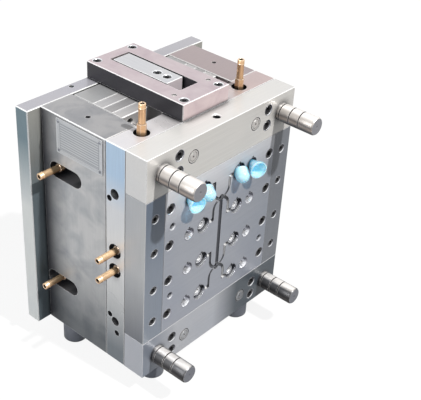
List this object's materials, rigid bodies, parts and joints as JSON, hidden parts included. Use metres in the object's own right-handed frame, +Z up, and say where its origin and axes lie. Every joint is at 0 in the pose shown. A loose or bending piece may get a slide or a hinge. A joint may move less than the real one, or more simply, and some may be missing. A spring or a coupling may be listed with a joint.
{
  "type": "injection mould half",
  "caption": "Ejector-side injection mould half: bolted plate stack with ring-core cavities, guide pins, sliding ejector pack, hose nipples and a slotted top bracket.",
  "frame": {"origin": "centre of the rear face of the clamping plate, on the axis of the ejector rod bore", "axes": "+Y out of the clamping face towards the platen, so the parting face looks along -Y; +Z up, +X to the right seen from the parting face"},
  "size_m": [0.398, 0.316, 0.485],
  "materials": {
    "ground_steel": "ground, light oil",
    "polished_insert": "fine ground with polished cavities",
    "bearing_steel": "polished",
    "black_screws": "black oxide",
    "bracket_steel": "ground, warm tint",
    "label_aluminium": "satin",
    "foot_steel": "turned",
    "brass": "turned",
    "moulding": "translucent"
  },
  "bodies": {
    "mould_frame": {"bar_screws": "black_screws", "bottom_bar": "ground_steel", "bracket_dowels": "bearing_steel", "bracket_screws": "black_screws", "cavity_insert": "polished_insert", "clamp_screws": "black_screws", "clamping_plate": "ground_steel", "core_pins": "polished_insert", "core_set_screws": "black_screws", "feet": "foot_steel", "foot_screws": "black_screws", "guide_pins": "bearing_steel", "insert_screws": "black_screws", "limit_bracket": "bracket_steel", "name_plate": "label_aluminium", "pack_guides": "bearing_steel", "parting_dowels": "bearing_steel", "pillar_screws": "black_screws", "plate_rivets": "label_aluminium", "rest_buttons": "ground_steel", "side_nipples": "brass", "side_strip_far": "ground_steel", "side_strip_near": "ground_steel", "spacer_block_far": "ground_steel", "spacer_block_near": "ground_steel", "spacer_dowels": "bearing_steel", "strip_screws": "black_screws", "support_pillars": "ground_steel", "support_plate": "ground_steel", "top_bar": "ground_steel", "top_nipples": "brass"},
    "ejector_pack": {"backing_plate": "ground_steel", "base_plate": "ground_steel", "block_screws": "black_screws", "cup_cap_far": "moulding", "cup_cap_near": "moulding", "dome_cap_far": "moulding", "dome_cap_near": "moulding", "ejector_pins": "bearing_steel", "ejector_sleeves": "bearing_steel", "limit_block": "ground_steel", "pack_bushes": "bearing_steel", "pack_nipples": "brass", "pack_screws": "black_screws", "pin_plate": "ground_steel", "return_pins": "bearing_steel", "sleeve_plate": "ground_steel"}
  },
  "joints": [
    {"name": "ejection", "type": "slide", "parent": "mould_frame", "child": "ejector_pack", "axis": [0, -1, 0], "range_m": [0, 0.028]}
  ]
}
